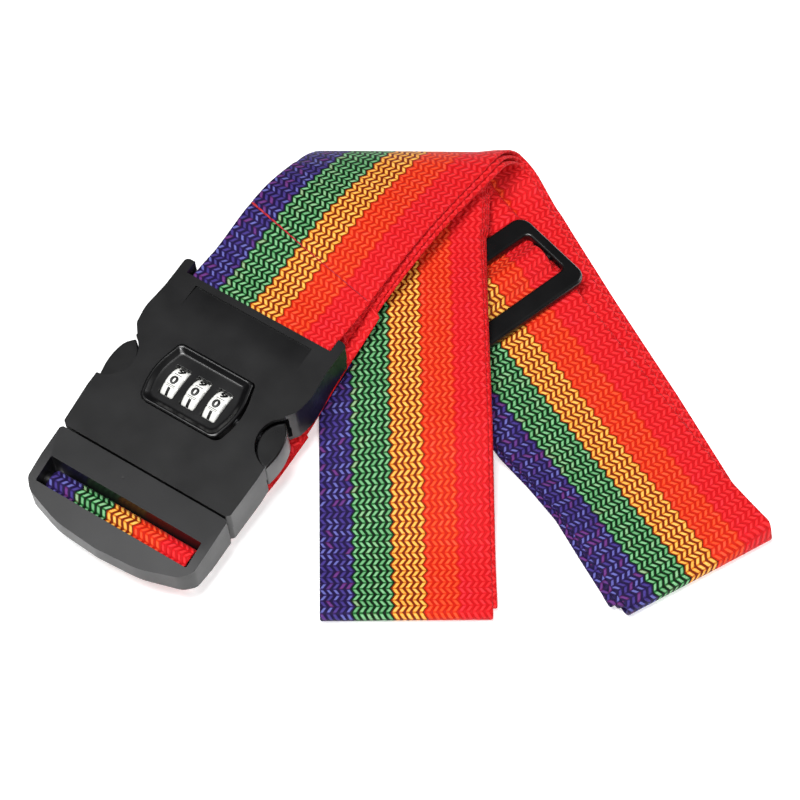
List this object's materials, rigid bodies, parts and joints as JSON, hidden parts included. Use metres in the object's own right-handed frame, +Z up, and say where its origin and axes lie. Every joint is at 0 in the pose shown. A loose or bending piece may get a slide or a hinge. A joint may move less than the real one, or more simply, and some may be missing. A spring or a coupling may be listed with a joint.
{
  "type": "luggage strap",
  "caption": "Striped webbing luggage strap folded into a bundle, with a combination-lock side-release buckle and a slide adjuster.",
  "frame": {"origin": "centre of the bottom of the whole bundle's box, on the table it lies on", "axes": "+Z up; +X along the bundle's longest side, from the buckle's end towards the free right leg; +Y from the legs' ends towards the apex"},
  "size_m": [0.2232, 0.1674, 0.0282],
  "materials": {
    "rainbow_webbing": "woven",
    "black_plastic": "satin moulded",
    "dark_plastic": "moulded",
    "white_plastic": "moulded",
    "steel": "plated",
    "red_thread": "sewing thread"
  },
  "bodies": {
    "bundle": {"webbing_anchor_run": "rainbow_webbing", "webbing_middle_run": "rainbow_webbing", "webbing_tail_run": "rainbow_webbing", "anchor_seam": "red_thread", "female_bottom_cover": "black_plastic", "female_top_cover": "black_plastic", "dial_bezel": "black_plastic", "spindle_spring": "steel", "dial_detent_spring": "steel", "housing_screw_1": "steel", "housing_screw_2": "steel", "housing_screw_3": "steel", "housing_screw_4": "steel"},
    "male_half": {"male_frame": "black_plastic", "webbing_male_loop": "rainbow_webbing"},
    "left_arm": {"release_arm_left": "black_plastic"},
    "right_arm": {"release_arm_right": "black_plastic"},
    "wheel_1": {"number_wheel_1": "white_plastic", "clutch_sleeve_1": "steel"},
    "wheel_2": {"number_wheel_2": "white_plastic", "clutch_sleeve_2": "steel"},
    "wheel_3": {"number_wheel_3": "white_plastic", "clutch_sleeve_3": "steel"},
    "bolt": {"lock_spindle": "steel"},
    "reset": {"code_reset_slider": "dark_plastic"},
    "adjuster": {"slide_adjuster": "black_plastic", "webbing_adjuster_run": "rainbow_webbing", "webbing_tail_loop": "rainbow_webbing"}
  },
  "joints": [
    {"name": "male_pull", "type": "slide", "parent": "bundle", "child": "male_half", "axis": [-0.546, -0.8312, -0.1045], "range_m": [0, 0.042], "deforming": ["release_arm_left", "release_arm_right", "webbing_male_loop"]},
    {"name": "left_arm_press", "type": "hinge", "parent": "male_half", "child": "left_arm", "pos_m": [-0.09228, -0.03086, 0.01561], "axis": [0.0574, 0.0874, -0.9945], "range_deg": [0, 6], "stiffness_Nm_per_rad": 0.4},
    {"name": "right_arm_press", "type": "hinge", "parent": "male_half", "child": "right_arm", "pos_m": [-0.05634, -0.05446, 0.01561], "axis": [-0.0574, -0.0874, 0.9945], "range_deg": [0, 6], "stiffness_Nm_per_rad": 0.4},
    {"name": "bolt_slide", "type": "slide", "parent": "bundle", "child": "bolt", "axis": [-0.8358, 0.549, 0], "range_m": [0, 0.0031], "deforming": ["spindle_spring"]},
    {"name": "reset_slide", "type": "slide", "parent": "bundle", "child": "reset", "axis": [0.8358, -0.549, 0], "range_m": [0, 0.0025]},
    {"name": "adjuster_slide", "type": "slide", "parent": "bundle", "child": "adjuster", "axis": [0.5488, -0.8359, 0], "range_m": [0, 0.025], "deforming": ["webbing_adjuster_run", "webbing_tail_loop"]},
    {"name": "wheel_1_spin", "type": "hinge", "parent": "bundle", "child": "wheel_1", "pos_m": [-0.06385, -0.01299, 0.01882], "axis": [0.8358, -0.549, 0], "continuous": true},
    {"name": "wheel_2_spin", "type": "hinge", "parent": "bundle", "child": "wheel_2", "pos_m": [-0.05754, -0.01714, 0.01882], "axis": [0.8358, -0.549, 0], "continuous": true},
    {"name": "wheel_3_spin", "type": "hinge", "parent": "bundle", "child": "wheel_3", "pos_m": [-0.05123, -0.02129, 0.01882], "axis": [0.8358, -0.549, 0], "continuous": true}
  ],
  "couplings": [
    {"joint": "bolt_slide", "follows": "right_arm_press", "m_per_rad": 0.029603}
  ]
}
